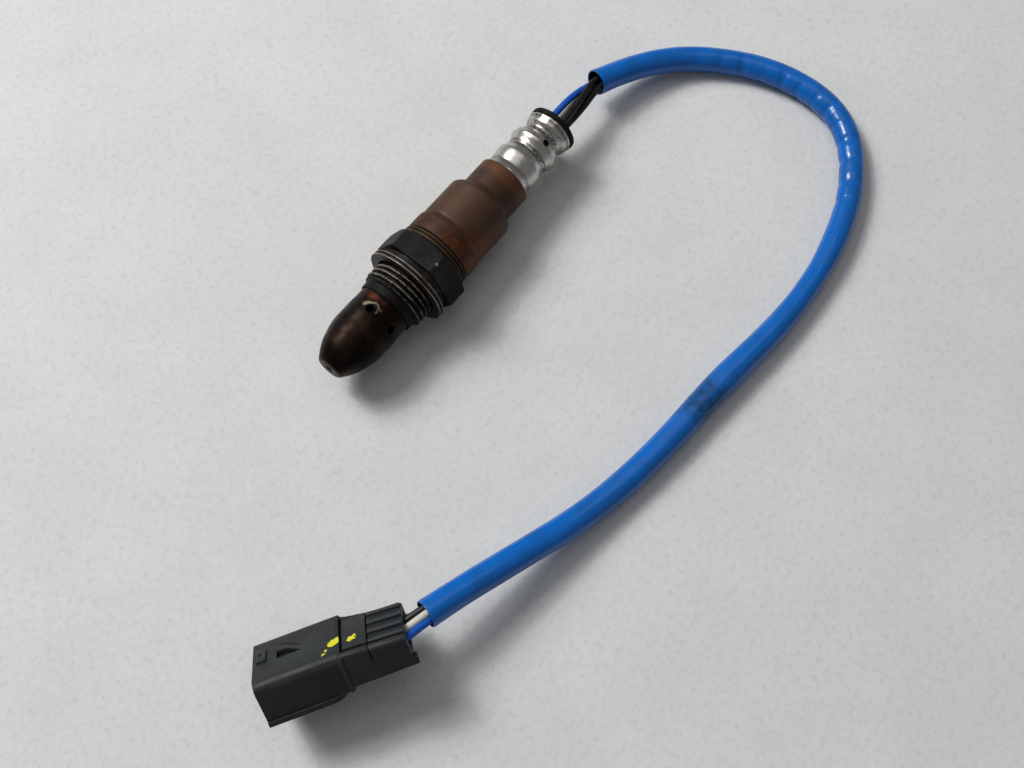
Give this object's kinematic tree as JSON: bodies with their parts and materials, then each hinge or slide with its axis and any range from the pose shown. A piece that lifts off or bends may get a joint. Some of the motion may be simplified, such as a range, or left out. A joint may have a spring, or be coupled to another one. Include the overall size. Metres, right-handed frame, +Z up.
{
  "type": "oxygen sensor",
  "caption": "Exhaust oxygen sensor with hexagonal shell, threaded probe end, vented collar, sleeved leads and a plastic plug-in connector.",
  "frame": {"origin": "on the sensor's axis, in the plane of the gasket face that meets the exhaust boss", "axes": "+X along the sensor's axis towards its tip, +Z up with the hexagon lying on one flat"},
  "size_m": [0.2262, 0.0964, 0.0251],
  "materials": {
    "shell_steel": "oxidised dark steel",
    "gasket_steel": "oxidised sheet steel",
    "cover_steel": "soot-browned steel",
    "spring_steel": "satin",
    "casing_steel": "heat-tinted brown steel",
    "collar_steel": "satin, stained",
    "element_ceramic": "matte",
    "insulator_ceramic": "matte",
    "talc": "pressed powder",
    "membrane": "porous, matte",
    "grommet_rubber": "matte",
    "seal_rubber": "matte",
    "connector_plastic": "satin",
    "retainer_plastic": "satin",
    "terminal_brass": "tin-plated",
    "blue_lead": "satin",
    "white_lead": "satin",
    "black_lead": "satin",
    "sleeve_vinyl": "soft, glossy"
  },
  "bodies": {
    "root": {"metal_shell": "shell_steel", "seat_gasket": "gasket_steel", "outer_cover": "cover_steel", "inner_cover": "cover_steel", "sensing_element": "element_ceramic", "front_insulator": "insulator_ceramic", "talc_packing": "talc", "rear_insulator": "insulator_ceramic", "packing_ring": "spring_steel", "rear_casing": "casing_steel", "contact_block": "insulator_ceramic", "block_clip": "spring_steel", "breather_collar": "collar_steel", "breather_membrane": "membrane", "lead_grommet": "grommet_rubber", "connector_housing": "connector_plastic", "connector_rear_cap": "connector_plastic", "terminal_retainer": "retainer_plastic", "lead_blue": "blue_lead", "lead_white": "white_lead", "lead_black_1": "black_lead", "lead_black_2": "black_lead", "cable_sleeve": "sleeve_vinyl", "contact_spring_1": "spring_steel", "lead_crimp_1": "terminal_brass", "terminal_1": "terminal_brass", "wire_seal_1": "seal_rubber", "contact_spring_2": "spring_steel", "lead_crimp_2": "terminal_brass", "terminal_2": "terminal_brass", "wire_seal_2": "seal_rubber", "contact_spring_3": "spring_steel", "lead_crimp_3": "terminal_brass", "terminal_3": "terminal_brass", "wire_seal_3": "seal_rubber", "contact_spring_4": "spring_steel", "lead_crimp_4": "terminal_brass", "terminal_4": "terminal_brass", "wire_seal_4": "seal_rubber"}
  },
  "joints": []
}
